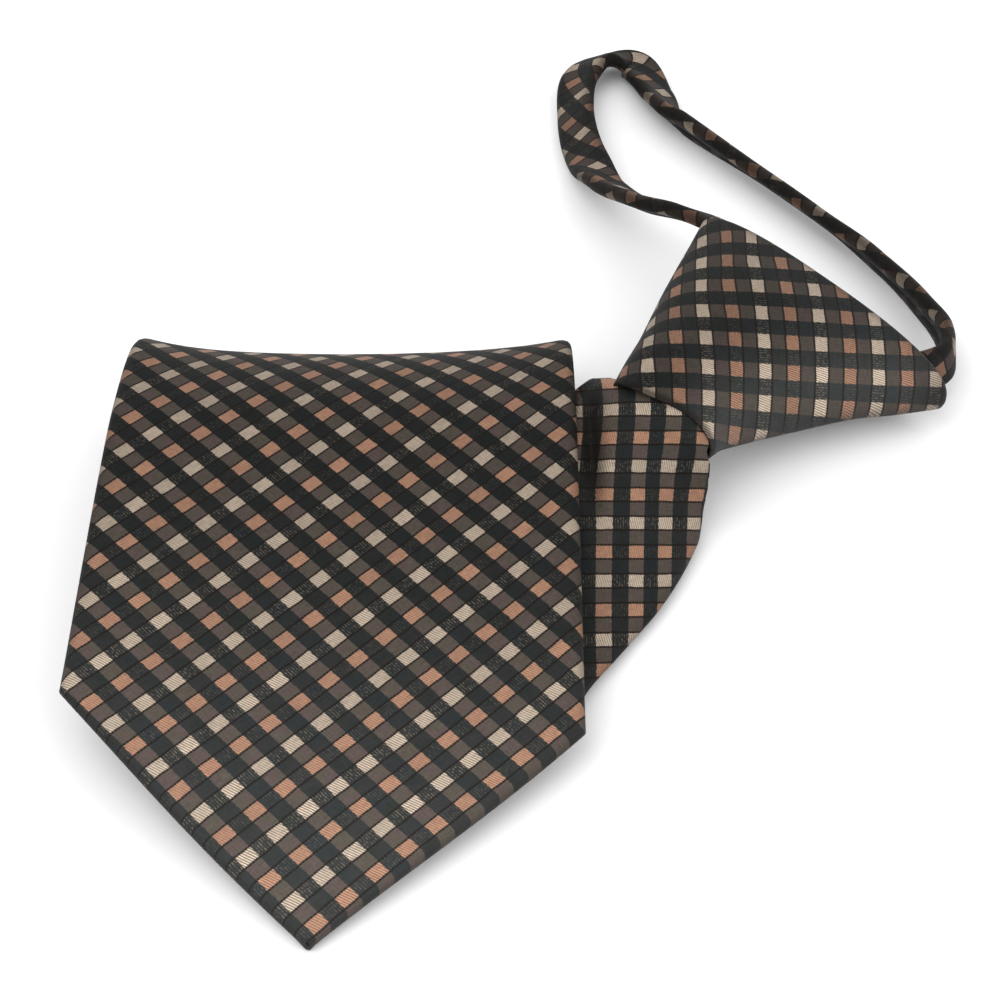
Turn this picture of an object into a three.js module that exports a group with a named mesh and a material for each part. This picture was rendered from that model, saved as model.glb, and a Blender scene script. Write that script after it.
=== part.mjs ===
// A zipper tie lying face up on a table, its wide blade rolled under once.
// Millimetres, +Z up. The point of the blade looks towards -Y, the knot lies to the right of it.
// The cloth is followed from the point to the knot in flat measures: `along` from the point and
// `across` from the middle line. Each part of the roll then says where such a spot of cloth lies.
import * as THREE from "three";

// The blade, flat.
const BLADE_WIDTH = 90;
const POINT_LENGTH = BLADE_WIDTH / 2; // a right-angled point
const POINT_BULGE = 0.9; // its pressed edges bow out this much
const CLOTH = 3; // a folded and lined blade, face to back
const TABLE_GAP = CLOTH / 2; // middle of the cloth above the table where it lies flat

// The roll. The first turn is at the top, the second one slants and sends the cloth to the knot.
const TIP_AT = { x: -31.4, y: -111 };
const PANEL_HEADING = THREE.MathUtils.degToRad(88.65); // from +X towards +Y
const TOP_TURN_SLANT = THREE.MathUtils.degToRad(3.2);
const TOP_TURN_STARTS = 140;
const SECOND_TURN_RADIUS = 1.9;
const SIDE_CURL = 1.3; // how much higher the side edges of the front panel stand

// The knot, and where the blade comes out of it.
const MOUTH = new THREE.Vector2(30.5, -0.2);
const KNOT_HEADING = new THREE.Vector2(0.63, 0.777).normalize();
const KNOT_LENGTH = 52.4;
const KNOT_WALL = 2.2;
const RIM_SLANT = 1.5; // how much further the rim reaches on its left than half-way across
const MOUTH_SLANT = 3.5; // how far the mouth is cut back on its right
const KNOT_RIGHTWARD = new THREE.Vector2(KNOT_HEADING.y, -KNOT_HEADING.x);

// The neck band, a flat tube of the same cloth.
const BAND_WIDTH = 9;
const BAND_THICKNESS = 3;

// The closed zip's plain strip, under the knot.
const STRIP_WIDTH = 8;
const STRIP_THICKNESS = 1.6;

// Slope of the front panel in degrees, from the point to where the top turn starts.
const FRONT_SLOPES = [
  { along: 0, slope: 13.7 },
  { along: 30, slope: 9.7 },
  { along: 60, slope: 10.6 },
  { along: 85, slope: 8.5 },
  { along: 100, slope: 6.9 },
  { along: 110, slope: 2.9 },
  { along: 120, slope: -6.2 },
  { along: 130, slope: -17 },
  { along: TOP_TURN_STARTS, slope: -34 },
];

// Half of the blade's width past its point, as a share of half of BLADE_WIDTH.
const TAPER = [
  { along: POINT_LENGTH, half: 1 },
  { along: 158, half: 0.905 },
  { along: 190, half: 0.8 },
  { along: 222, half: 0.58 },
  { along: 245, half: 0.55 },
  { along: 330, half: 0.52 },
];

// The run from the second turn to the knot, by the cloth still to go before the mouth: sideways
// place and height of its left edge, of its ridge and of its right edge.
const REAR_RUN = [
  { before: 60, left: -24.5, leftZ: 5.3, mid: 0, midZ: 5.3, right: 24.5, rightZ: 5.3 },
  { before: 50, left: -24.5, leftZ: 6.6, mid: -1, midZ: 6.8, right: 21.8, rightZ: 3.2 },
  { before: 37, left: -24, leftZ: 8.4, mid: -1.5, midZ: 9.3, right: 20, rightZ: 2.1 },
  { before: 24, left: -23.5, leftZ: 10.5, mid: -2, midZ: 13, right: 18.2, rightZ: 2 },
  { before: 12, left: -22.5, leftZ: 13, mid: -4, midZ: 18.5, right: 13.8, rightZ: 2.1 },
  { before: 8, left: -20, leftZ: 16, mid: -4, midZ: 21.8, right: 10.4, rightZ: 2.9 },
  { before: 6, left: -16.5, leftZ: 18, mid: -3.4, midZ: 23.4, right: 9.4, rightZ: 6.4 },
  { before: 4, left: -12.5, leftZ: 19.4, mid: -3, midZ: 24.6, right: 9.4, rightZ: 10 },
  { before: 2.5, left: -9.8, leftZ: 20.4, mid: -2.5, midZ: 25.1, right: 7.8, rightZ: 13 },
  { before: 1, left: -8.4, leftZ: 21, mid: -2, midZ: 25.3, right: 5.8, rightZ: 15.4 },
  { before: -1, left: -8.1, leftZ: 21.4, mid: -1.8, midZ: 25.3, right: 4.8, rightZ: 16.6 },
  { before: -8, left: -8, leftZ: 21, mid: -1.8, midZ: 24.2, right: 3, rightZ: 16.4 },
  { before: -22, left: -8, leftZ: 18.5, mid: -1, midZ: 20, right: 4, rightZ: 16 },
];

// How far the edges of that run are shoved up beside the mouth.
const SHOVED_UP = [
  { before: 60, left: 0, right: 0 },
  { before: 26, left: 0.5, right: 0.5 },
  { before: 12, left: 9, right: 5 },
  { before: 8, left: 12, right: 7.6 },
  { before: 6, left: 9, right: 7.4 },
  { before: 4, left: 1.2, right: 4.2 },
  { before: 2.5, left: 0, right: 2 },
  { before: 1, left: 0, right: 0.6 },
  { before: -22, left: 0, right: 0 },
];

// Cross sections of the knot, by the distance up from its mouth. `square` above 2 gives fuller
// corners than an ellipse.
const KNOT_SECTIONS = [
  { up: 0, left: -11.6, right: 8.8, leftZ: 21, rightZ: 15.6, top: 29.3, bottom: 10.6, square: 2 },
  { up: 6, left: -13.8, right: 8.6, leftZ: 20.5, rightZ: 15, top: 29.8, bottom: 9, square: 2 },
  { up: 12, left: -15.9, right: 9.6, leftZ: 20.2, rightZ: 14, top: 29.4, bottom: 7, square: 2 },
  { up: 26, left: -21.3, right: 14.9, leftZ: 20, rightZ: 12, top: 28, bottom: 4.2, square: 2 },
  { up: 38, left: -25.7, right: 21, leftZ: 19.4, rightZ: 10.8, top: 26.4, bottom: 3, square: 2 },
  { up: 45, left: -28.1, right: 25.4, leftZ: 19, rightZ: 9.8, top: 24.4, bottom: 3, square: 2.2 },
  { up: KNOT_LENGTH, left: -30.8, right: 30.4, leftZ: 18.5, rightZ: 8.8, top: 22.2, bottom: 4.6, square: 2.5 },
];

// The neck band's middle line, from inside the knot's left corner round to its right corner.
// `lean` is how far the band's face is turned from upwards to the left of its run, in degrees.
const BAND_PATH = [
  { x: 41.3, y: 33.2, z: 15.8, lean: -10 },
  { x: 43.6, y: 45.2, z: 17, lean: -10 },
  { x: 46.6, y: 53.2, z: 16.8, lean: -14 },
  { x: 44.5, y: 64.6, z: 15.2, lean: -34 },
  { x: 36.6, y: 70.8, z: 14.8, lean: -40 },
  { x: 29, y: 77.8, z: 12, lean: -38 },
  { x: 22.3, y: 90, z: 7.5, lean: -24 },
  { x: 17.8, y: 106.2, z: 4.3, lean: 30 },
  { x: 16.3, y: 120.8, z: 4, lean: 36 },
  { x: 17.8, y: 135.2, z: 4.1, lean: 20 },
  { x: 22.9, y: 140.6, z: 4.3, lean: 38 },
  { x: 29.4, y: 141.2, z: 2.8, lean: -2 },
  { x: 34, y: 129.6, z: 3.3, lean: 26 },
  { x: 36.6, y: 121.3, z: 3.9, lean: 48 },
  { x: 40.6, y: 115.4, z: 4.4, lean: 60 },
  { x: 56, y: 96.8, z: 4.4, lean: 48 },
  { x: 67.3, y: 82.2, z: 4.5, lean: 48 },
  { x: 77.2, y: 67.4, z: 4.8, lean: 62 },
  { x: 85.1, y: 51, z: 5.5, lean: 74 },
  { x: 87.8, y: 40, z: 6.8, lean: 86 },
  { x: 86.4, y: 30.8, z: 8.4, lean: 82 },
  { x: 78.5, y: 24.7, z: 10.1, lean: 78 },
  { x: 70.7, y: 21.9, z: 11, lean: 60 },
  { x: 57.2, y: 18.1, z: 13, lean: 25 },
];

// The strip's middle line, from inside the knot out under the rear run.
const STRIP_PATH = [
  { up: 20, side: -2, z: 13 },
  { up: 6, side: -2, z: 15.6 },
  { up: -3, side: -1.8, z: 15.2 },
  { up: -12, side: -1, z: 9 },
  { up: -24, side: 3, z: 2.6 },
  { up: -38, side: 6, z: 1.1 },
];

const UP = new THREE.Vector3(0, 0, 1);
const TURNED_OVER = -Math.PI;

// Value of one column of a table at a place of its first column, in a smooth line through the rows.
function tabled(rows, place, key, column) {
  const rising = rows[1][key] > rows[0][key];
  const last = rows.length - 1;
  let row = 0;
  while (row < last - 1 && (rising ? place > rows[row + 1][key] : place < rows[row + 1][key])) row++;
  const here = rows[row];
  const next = rows[row + 1];
  const span = next[key] - here[key];
  const share = THREE.MathUtils.clamp((place - here[key]) / span, 0, 1);
  const before = rows[Math.max(row - 1, 0)];
  const after = rows[Math.min(row + 2, last)];
  const slopeHere = (next[column] - before[column]) / (next[key] - before[key]) * span;
  const slopeNext = (after[column] - here[column]) / (after[key] - here[key]) * span;
  const rise = next[column] - here[column];
  return here[column] + share * (slopeHere + share * (3 * rise - 2 * slopeHere - slopeNext
    + share * (slopeHere + slopeNext - 2 * rise)));
}

// Half of the blade's width at a place along it.
function halfWidth(along) {
  if (along < POINT_LENGTH) {
    const place = Math.max(along, 0);
    return place + POINT_BULGE * Math.sin(Math.PI * place / POINT_LENGTH);
  }
  return tabled(TAPER, along, "along", "half") * BLADE_WIDTH / 2;
}

// Side view of the front panel and the top turn, a step of cloth at a time, then straight on
// under the panel. The turn's radius is the one that brings the cloth down onto the table.
const STEP = 0.5;
const rollTrack = [{ y: 0, z: TABLE_GAP, turn: THREE.MathUtils.degToRad(FRONT_SLOPES[0].slope) }];
let topTurnRadius = 0;
while (rollTrack.at(-1).turn > TURNED_OVER) {
  const along = rollTrack.length * STEP;
  const here = rollTrack.at(-1);
  let turn;
  if (along <= TOP_TURN_STARTS) {
    turn = THREE.MathUtils.degToRad(tabled(FRONT_SLOPES, along, "along", "slope"));
  } else {
    if (!topTurnRadius) topTurnRadius = (here.z - TABLE_GAP) / (1 + Math.cos(here.turn));
    turn = Math.max(here.turn - STEP / topTurnRadius, TURNED_OVER);
  }
  const middle = (turn + here.turn) / 2;
  rollTrack.push({ y: here.y + STEP * Math.cos(middle), z: here.z + STEP * Math.sin(middle), turn });
}
const TOP_TURN_ENDS = (rollTrack.length - 1) * STEP;

function trackAt(along) {
  const end = rollTrack.at(-1);
  if (along >= TOP_TURN_ENDS) return { y: end.y - (along - TOP_TURN_ENDS), z: end.z };
  const place = Math.max(along, 0) / STEP;
  const row = Math.min(Math.floor(place), rollTrack.length - 2);
  const share = place - row;
  const here = rollTrack[row];
  const next = rollTrack[row + 1];
  return { y: here.y + share * (next.y - here.y), z: here.z + share * (next.z - here.z) };
}

// A spot of the front panel, of the top turn or of the run under the panel. The panel leans a
// little to its right and its sides curl up. Both fade out where the cloth comes near the table.
function panelSpot(across, along) {
  const cos = Math.cos(TOP_TURN_SLANT);
  const sin = Math.sin(TOP_TURN_SLANT);
  const side = across * cos + along * sin;
  const at = trackAt(along * cos - across * sin);
  const x = side * cos - at.y * sin;
  const y = side * sin + at.y * cos;
  const placed = new THREE.Vector2(x, y).rotateAround(new THREE.Vector2(), PANEL_HEADING - Math.PI / 2);
  const off = THREE.MathUtils.smoothstep(at.z, TABLE_GAP, TABLE_GAP + 8);
  const lean = THREE.MathUtils.degToRad(4.03 - 2.12 * (along - 60) / 60);
  const curl = SIDE_CURL * (across / (BLADE_WIDTH / 2)) ** 2;
  const z = at.z + off * (curl - x * Math.tan(lean));
  return new THREE.Vector3(TIP_AT.x + placed.x, TIP_AT.y + placed.y, z);
}

// The second turn. `axis` runs along it and `ahead` is the way the cloth comes into it.
const underAngle = 2 * TOP_TURN_SLANT + PANEL_HEADING - Math.PI;
const underHeading = new THREE.Vector2(Math.cos(underAngle), Math.sin(underAngle));
const axis = underHeading.clone().add(KNOT_HEADING).normalize();
const ahead = underHeading.clone().sub(KNOT_HEADING).normalize();
const TURN_LENGTH = Math.PI * SECOND_TURN_RADIUS;
const underStart = panelSpot(0, TOP_TURN_ENDS);
const toMouth = MOUTH.clone().sub(underStart).addScaledVector(ahead, -TURN_LENGTH);
const underLength = toMouth.cross(KNOT_HEADING) / underHeading.cross(KNOT_HEADING);
const SECOND_TURN = TOP_TURN_ENDS + underLength;
const MOUTH_ALONG = SECOND_TURN + toMouth.addScaledVector(underHeading, -underLength).dot(KNOT_HEADING);
const turnSin = underHeading.dot(axis);
const turnCos = underHeading.dot(ahead);
const turnStart = panelSpot(0, SECOND_TURN);

// A spot between the second turn and the inside of the knot.
function rearSpot(across, along) {
  const before = MOUTH_ALONG - along;
  const share = THREE.MathUtils.clamp(across / halfWidth(along), -1, 1);
  const reach = Math.abs(share);
  const edge = share < 0 ? "left" : "right";
  const at = (column) => tabled(REAR_RUN, before, "before", column);
  const side = at("mid") + reach * (at(edge) - at("mid"));
  const height = at("midZ") + reach ** 1.7 * (at(edge + "Z") - at("midZ"));
  const up = -before + reach ** 2 * tabled(SHOVED_UP, before, "before", edge);
  const x = MOUTH.x + side * KNOT_RIGHTWARD.x + up * KNOT_HEADING.x;
  const y = MOUTH.y + side * KNOT_RIGHTWARD.y + up * KNOT_HEADING.y;
  return new THREE.Vector3(x, y, height);
}

// Any spot of the blade's middle layer.
function bladeSpot(across, along) {
  const past = along - SECOND_TURN;
  const into = past * turnCos - across * turnSin;
  if (into <= 0) return panelSpot(across, along);
  if (into < TURN_LENGTH) {
    const angle = into / SECOND_TURN_RADIUS;
    const sideways = across * turnCos + past * turnSin;
    const forward = SECOND_TURN_RADIUS * Math.sin(angle);
    return new THREE.Vector3(
      turnStart.x + sideways * axis.x + forward * ahead.x,
      turnStart.y + sideways * axis.y + forward * ahead.y,
      TABLE_GAP + SECOND_TURN_RADIUS * (1 - Math.cos(angle)),
    );
  }
  const flat = new THREE.Vector3(
    MOUTH.x + across * KNOT_RIGHTWARD.x - (MOUTH_ALONG - along) * KNOT_HEADING.x,
    MOUTH.y + across * KNOT_RIGHTWARD.y - (MOUTH_ALONG - along) * KNOT_HEADING.y,
    TABLE_GAP + 2 * SECOND_TURN_RADIUS,
  );
  const leaves = THREE.MathUtils.smoothstep(along, MOUTH_ALONG - 62, MOUTH_ALONG - 50);
  return leaves === 0 ? flat : flat.lerp(rearSpot(across, along), leaves);
}

// Spot at a height over the blade's middle layer, measured square to the cloth.
function bladeSurface(across, along, over) {
  const d = 0.05;
  const a = bladeSpot(across + d, along).sub(bladeSpot(across - d, along));
  const b = bladeSpot(across, along + d).sub(bladeSpot(across, along - d));
  return bladeSpot(across, along).addScaledVector(a.cross(b).normalize(), over);
}

// Closed skin through rings of points, each ring with as many points as the next.
function skin(rings, looped = false) {
  const count = rings[0].length;
  const points = rings.flat();
  const faces = [];
  const spans = looped ? rings.length : rings.length - 1;
  for (let ring = 0; ring < spans; ring++) {
    const next = (ring + 1) % rings.length;
    for (let i = 0; i < count; i++) {
      const j = (i + 1) % count;
      faces.push([ring * count + i, ring * count + j, next * count + j]);
      faces.push([ring * count + i, next * count + j, next * count + i]);
    }
  }
  if (!looped) {
    for (const [ring, flip] of [[0, true], [rings.length - 1, false]]) {
      const middle = new THREE.Vector3();
      for (const point of rings[ring]) middle.addScaledVector(point, 1 / count);
      points.push(middle);
      for (let i = 0; i < count; i++) {
        const edge = [ring * count + i, ring * count + (i + 1) % count];
        faces.push([...(flip ? edge.reverse() : edge), points.length - 1]);
      }
    }
  }
  const geometry = new THREE.BufferGeometry().setFromPoints(points);
  geometry.setIndex(faces.flat());
  geometry.computeVertexNormals();
  return geometry;
}

// Section of a flat thing with rounded edges, as pairs of sideways place and height, right-hand
// edge first and over the top.
function flatSection(half, thickness, columns) {
  const round = Math.min(thickness / 2, half * 0.9);
  const pairs = [];
  for (const turn of [0, 45]) {
    const angle = THREE.MathUtils.degToRad(turn);
    pairs.push([half - round + round * Math.cos(angle), round * Math.sin(angle)]);
  }
  for (let i = 0; i <= columns; i++) pairs.push([(half - round) * (1 - 2 * i / columns), round]);
  const top = pairs.length;
  pairs.push([-(half - round + round * Math.SQRT1_2), round * Math.SQRT1_2]);
  for (let i = 0; i < top; i++) pairs.push([-pairs[i][0], -pairs[i][1]]);
  pairs.push([half - round + round * Math.SQRT1_2, -round * Math.SQRT1_2]);
  return pairs;
}

// Rows of the blade: close together where the cloth turns, far apart where it lies flat. In the
// second turn they slant with it.
function bladeRows() {
  const stops = [
    { until: POINT_LENGTH, every: 7 },
    { until: 105, every: 8 },
    { until: TOP_TURN_STARTS, every: 4 },
    { until: TOP_TURN_ENDS + 1, every: 2 },
    { until: SECOND_TURN - 2, every: 9 },
    { until: SECOND_TURN + TURN_LENGTH / turnCos + 1, every: 1 },
    { until: MOUTH_ALONG - 15, every: 5 },
    { until: MOUTH_ALONG + 3, every: 1.4 },
    { until: MOUTH_ALONG + 22, every: 5 },
  ];
  const rows = [0.9];
  for (const { until, every } of stops) {
    const from = rows.at(-1);
    const count = Math.max(1, Math.round((until - from) / every));
    for (let i = 1; i <= count; i++) rows.push(from + (until - from) * i / count);
  }
  return rows;
}

function rowSlant(row) {
  const comes = THREE.MathUtils.smoothstep(row, SECOND_TURN - 45, SECOND_TURN - 4);
  const goes = THREE.MathUtils.smoothstep(row, SECOND_TURN + 14, MOUTH_ALONG - 22);
  return turnSin / turnCos * comes * (1 - goes);
}

const BLADE_COLUMNS = 12;
const bladeRings = bladeRows().map((row) => {
  const slant = rowSlant(row);
  const [left, right] = [-1, 1].map((side) => {
    let half = halfWidth(row);
    for (let pass = 0; pass < 4; pass++) half = halfWidth(row + side * half * slant);
    return half;
  });
  return flatSection((left + right) / 2, CLOTH, BLADE_COLUMNS).map(([side, over]) => {
    const across = side + (right - left) / 2;
    return bladeSurface(across, row + across * slant, over);
  });
});
const bladeGeometry = skin(bladeRings.map((ring) => ring.reverse()));

// A ring of the knot at a distance up from its mouth, `inset` from its outside. The rings slant
// towards both ends.
const KNOT_AROUND = 40;
function knotRing(up, inset) {
  const at = (column) => tabled(KNOT_SECTIONS, up, "up", column);
  const middle = (at("left") + at("right")) / 2;
  const half = (at("right") - at("left")) / 2 - inset;
  const centreZ = (at("leftZ") + at("rightZ")) / 2;
  const power = 2 / at("square");
  const ring = [];
  for (let i = 0; i < KNOT_AROUND; i++) {
    const angle = 2 * Math.PI * i / KNOT_AROUND;
    const cos = Math.cos(angle);
    const sin = Math.sin(angle);
    const share = Math.sign(cos) * Math.abs(cos) ** power;
    const reach = (sin > 0 ? at("top") - centreZ : centreZ - at("bottom")) - inset;
    const side = middle + half * share;
    const slope = (at("rightZ") - at("leftZ")) / (at("right") - at("left"));
    const toRim = up / KNOT_LENGTH;
    const cutBack = MOUTH_SLANT * ((share + 1) / 2) ** 3 * (1 - toRim) ** 2;
    const slanted = up + cutBack - RIM_SLANT * (share + 0.5) * toRim ** 2;
    const z = centreZ + slope * half * share + Math.sign(sin) * Math.abs(sin) ** power * reach;
    ring.push(new THREE.Vector3(
      MOUTH.x + side * KNOT_RIGHTWARD.x + slanted * KNOT_HEADING.x,
      MOUTH.y + side * KNOT_RIGHTWARD.y + slanted * KNOT_HEADING.y,
      z,
    ));
  }
  return ring;
}

// The knot is a sleeve: outside, round the lip, back along the inside, round the mouth.
const knotUps = [0, 3, 8, 14, 20, 26, 32, 38, 42, 45, 48, KNOT_LENGTH - 0.3];
const knotRings = [
  ...knotUps.map((up) => knotRing(up, 0)),
  knotRing(KNOT_LENGTH + 0.6, KNOT_WALL * 0.3),
  knotRing(KNOT_LENGTH + 0.6, KNOT_WALL * 0.7),
  ...knotUps.toReversed().map((up) => knotRing(up, KNOT_WALL)),
  knotRing(-0.6, KNOT_WALL * 0.7),
  knotRing(-0.6, KNOT_WALL * 0.3),
];
const knotGeometry = skin(knotRings.map((ring) => ring.reverse()), true);

// A flat thing swept along a line. `lean` turns its face from upwards to the left of the run.
function sweep(points, leans, width, thickness) {
  const line = new THREE.CatmullRomCurve3(points, false, "centripetal");
  const section = flatSection(width / 2, thickness, 2);
  const spans = (points.length - 1) * 4;
  const rings = [];
  for (let i = 0; i <= spans; i++) {
    const share = i / spans;
    const run = line.getTangent(share);
    const place = share * (points.length - 1);
    const row = Math.min(Math.floor(place), points.length - 2);
    const ease = THREE.MathUtils.smoothstep(place - row, 0, 1);
    const lean = THREE.MathUtils.degToRad(leans[row] + ease * (leans[row + 1] - leans[row]));
    const rightward = new THREE.Vector3().crossVectors(run, UP).normalize();
    const face = new THREE.Vector3().crossVectors(rightward, run).normalize();
    const across = rightward.clone().multiplyScalar(Math.cos(lean)).addScaledVector(face, Math.sin(lean));
    const over = face.clone().multiplyScalar(Math.cos(lean)).addScaledVector(rightward, -Math.sin(lean));
    const centre = line.getPoint(share);
    rings.push(section.map(([side, height]) =>
      centre.clone().addScaledVector(across, side).addScaledVector(over, height)));
  }
  return skin(rings.map((ring) => ring.reverse()));
}

const bandGeometry = sweep(
  BAND_PATH.map(({ x, y, z }) => new THREE.Vector3(x, y, z)),
  BAND_PATH.map(({ lean }) => lean),
  BAND_WIDTH,
  BAND_THICKNESS,
);
const stripGeometry = sweep(
  STRIP_PATH.map(({ up, side, z }) => new THREE.Vector3(
    MOUTH.x + side * KNOT_RIGHTWARD.x + up * KNOT_HEADING.x,
    MOUTH.y + side * KNOT_RIGHTWARD.y + up * KNOT_HEADING.y,
    z,
  )),
  STRIP_PATH.map(() => 0),
  STRIP_WIDTH,
  STRIP_THICKNESS,
);

const checkedCloth = new THREE.MeshStandardMaterial({ color: 0x3f3a36, roughness: 0.6, metalness: 0 });
const zipTape = new THREE.MeshStandardMaterial({ color: 0x1c1c1d, roughness: 0.8, metalness: 0 });

const tie = new THREE.Group();
for (const [name, geometry, material] of [
  ["blade", bladeGeometry, checkedCloth],
  ["knot", knotGeometry, checkedCloth],
  ["neck_band", bandGeometry, checkedCloth],
  ["zip_strip", stripGeometry, zipTape],
]) {
  const mesh = new THREE.Mesh(geometry, material);
  mesh.name = name;
  tie.add(mesh);
}

// The part's origin is under the middle of the whole tie, on the table.
const box = new THREE.Box3().setFromObject(tie);
const centre = box.getCenter(new THREE.Vector3());
for (const mesh of tie.children) mesh.geometry.translate(-centre.x, -centre.y, -box.min.z);

export default tie;
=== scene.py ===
# %% [markdown]
# # A zipper tie, dressed on its CAD frame
# A zipper tie is sold with its knot ready made. A closed band of the same cloth goes round the neck,
# and a zip hidden behind the knot makes the band wider. Here it lies face up, its wide blade rolled
# under. The CAD model already holds every piece at its real size. This lesson gives each piece the
# cloth that the real one shows: a finer skin, a woven check that follows the folds, and soft edges.
# The first cell loads the CAD model as a frame. Nothing in it is ever moved.

# %% Load the frame
import math

import bpy
import numpy as np
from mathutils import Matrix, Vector


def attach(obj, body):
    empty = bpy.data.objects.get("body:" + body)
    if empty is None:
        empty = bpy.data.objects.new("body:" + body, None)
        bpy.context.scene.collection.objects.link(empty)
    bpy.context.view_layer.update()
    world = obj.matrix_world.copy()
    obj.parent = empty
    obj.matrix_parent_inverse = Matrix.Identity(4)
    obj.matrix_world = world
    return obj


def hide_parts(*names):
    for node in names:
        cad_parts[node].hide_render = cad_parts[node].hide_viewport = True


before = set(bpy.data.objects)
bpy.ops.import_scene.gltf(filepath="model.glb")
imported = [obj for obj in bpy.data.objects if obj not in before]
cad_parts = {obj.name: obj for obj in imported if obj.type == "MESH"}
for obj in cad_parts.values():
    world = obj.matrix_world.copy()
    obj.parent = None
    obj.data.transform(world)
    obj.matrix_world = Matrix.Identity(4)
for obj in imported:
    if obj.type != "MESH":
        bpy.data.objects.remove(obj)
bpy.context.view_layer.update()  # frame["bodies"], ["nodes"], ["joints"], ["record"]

# %% [markdown]
# ## Small tables
# Folded cloth is given at a few places, with a smooth line between them. Some rows were set one by
# one and some are rounded results of fits. A curve could hold such a line, but a small table with named
# columns is plainer and takes whole arrays of places at once. `read` joins the rows with the same
# smooth line as the CAD source, so that the skin lies on the CAD solid.

# %% Read a small table in a smooth line


def table(names, *rows):
    return dict(zip(names.split(), np.array(rows, float).T))


def read(rows, place, column):
    key = next(iter(rows.values()))
    value = rows[column]
    way = 1 if key[1] > key[0] else -1
    last = len(key) - 1
    row = np.clip(np.searchsorted(way * key, way * np.asarray(place, float)) - 1, 0, last - 1)
    after = np.minimum(row + 2, last)
    before = np.maximum(row - 1, 0)
    span = key[row + 1] - key[row]
    share = np.clip((place - key[row]) / span, 0, 1)
    slope = (value[row + 1] - value[before]) / (key[row + 1] - key[before]) * span
    next_slope = (value[after] - value[row]) / (key[after] - key[row]) * span
    rise = value[row + 1] - value[row]
    bend = 3 * rise - 2 * slope - next_slope
    return value[row] + share * (slope + share * (bend + share * (slope + next_slope - 2 * rise)))


def smooth(place, start, end):
    share = np.clip((np.asarray(place, float) - start) / (end - start), 0, 1)
    return share * share * (3 - 2 * share)


def unit(vectors):
    return vectors / np.linalg.norm(vectors, axis=-1, keepdims=True)


# %% [markdown]
# ## The blade as flat cloth
# The blade is one long flat piece of folded cloth. Every spot of it has two flat measures in
# millimetres: `along`, from the point, and `across`, from the middle line. A simulation could drape
# it, but a pressed tie rolls in clean, known bends. So each bend says where such a spot lies, and
# the weave on the panel can use the same flat measures.

# %% Sizes of the blade
BLADE_WIDTH = 90.0
POINT_LENGTH = BLADE_WIDTH / 2
POINT_BULGE = 0.9
CLOTH = 3.0
TABLE_GAP = CLOTH / 2
TIP_AT = np.array([-31.4, -111.0])
PANEL_HEADING = math.radians(88.65)
TOP_TURN_SLANT = math.radians(3.2)
TOP_TURN_STARTS = 140.0
SECOND_TURN_RADIUS = 1.9
SIDE_CURL = 1.3  # how far the panel's long edges stand up
MOUTH = np.array([30.5, -0.2])
KNOT_HEADING = unit(np.array([0.63, 0.777]))
KNOT_RIGHTWARD = np.array([KNOT_HEADING[1], -KNOT_HEADING[0]])
ORIGIN = np.array([7.18, 17.91])  # the CAD origin, seen from where these measures were taken

FRONT_SLOPES = table(
    "along slope",
    (0, 13.7), (30, 9.7), (60, 10.6), (85, 8.5), (100, 6.9), (110, 2.9), (120, -6.2), (130, -17),
    (TOP_TURN_STARTS, -34),
)
TAPER = table(
    "along half",
    (POINT_LENGTH, 1), (158, 0.905), (190, 0.8), (222, 0.58), (245, 0.55), (330, 0.52),
)
print("blade", BLADE_WIDTH, "mm wide at its widest,", POINT_LENGTH, "mm above the point")


def half_width(along):
    place = np.clip(along, 0, POINT_LENGTH)
    point = place + POINT_BULGE * np.sin(np.pi * place / POINT_LENGTH)
    return np.where(along < POINT_LENGTH, point, read(TAPER, along, "half") * BLADE_WIDTH / 2)


# %% [markdown]
# ## The roll at the top
# From the side the front panel climbs gently, bends over at the top and runs back under itself on
# the table. The line is followed half a millimetre of cloth at a time. The bend's radius isn't
# guessed: it is the one that brings the cloth down exactly onto the table.

# %% Side line of the panel and its first turn
STEP = 0.5

line_y = [0.0]
line_z = [TABLE_GAP]
line_turn = [math.radians(FRONT_SLOPES["slope"][0])]
top_radius = 0.0
while line_turn[-1] > -math.pi:
    so_far = len(line_y) * STEP
    if so_far <= TOP_TURN_STARTS:
        turn = math.radians(float(read(FRONT_SLOPES, so_far, "slope")))
    else:
        if not top_radius:
            top_radius = (line_z[-1] - TABLE_GAP) / (1 + math.cos(line_turn[-1]))
        turn = max(line_turn[-1] - STEP / top_radius, -math.pi)
    middle = (turn + line_turn[-1]) / 2
    line_y.append(line_y[-1] + STEP * math.cos(middle))
    line_z.append(line_z[-1] + STEP * math.sin(middle))
    line_turn.append(turn)
TOP_TURN_ENDS = (len(line_y) - 1) * STEP
print("top turn: radius", round(top_radius, 1), "mm, ends", TOP_TURN_ENDS, "mm along")

# %% [markdown]
# ## A spot of the panel
# The side line gives how far a spot has gone and how high it is. Real cloth isn't as even as a bent
# sheet of metal, so three small things are added: the panel leans to its right, its long edges curl
# up, and along the top turn the middle sags while both corners stand up.

# %% Where a spot of the panel lies
LEAN = 4.03  # degrees to the right, LEAN_AT mm from the point, and less further up
LEAN_LOSS = 2.12
LEAN_AT = 60
TOP_SAG = 1.3
LEFT_CORNER_UP = 2.2
RIGHT_CORNER_UP = 1.2


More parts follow.
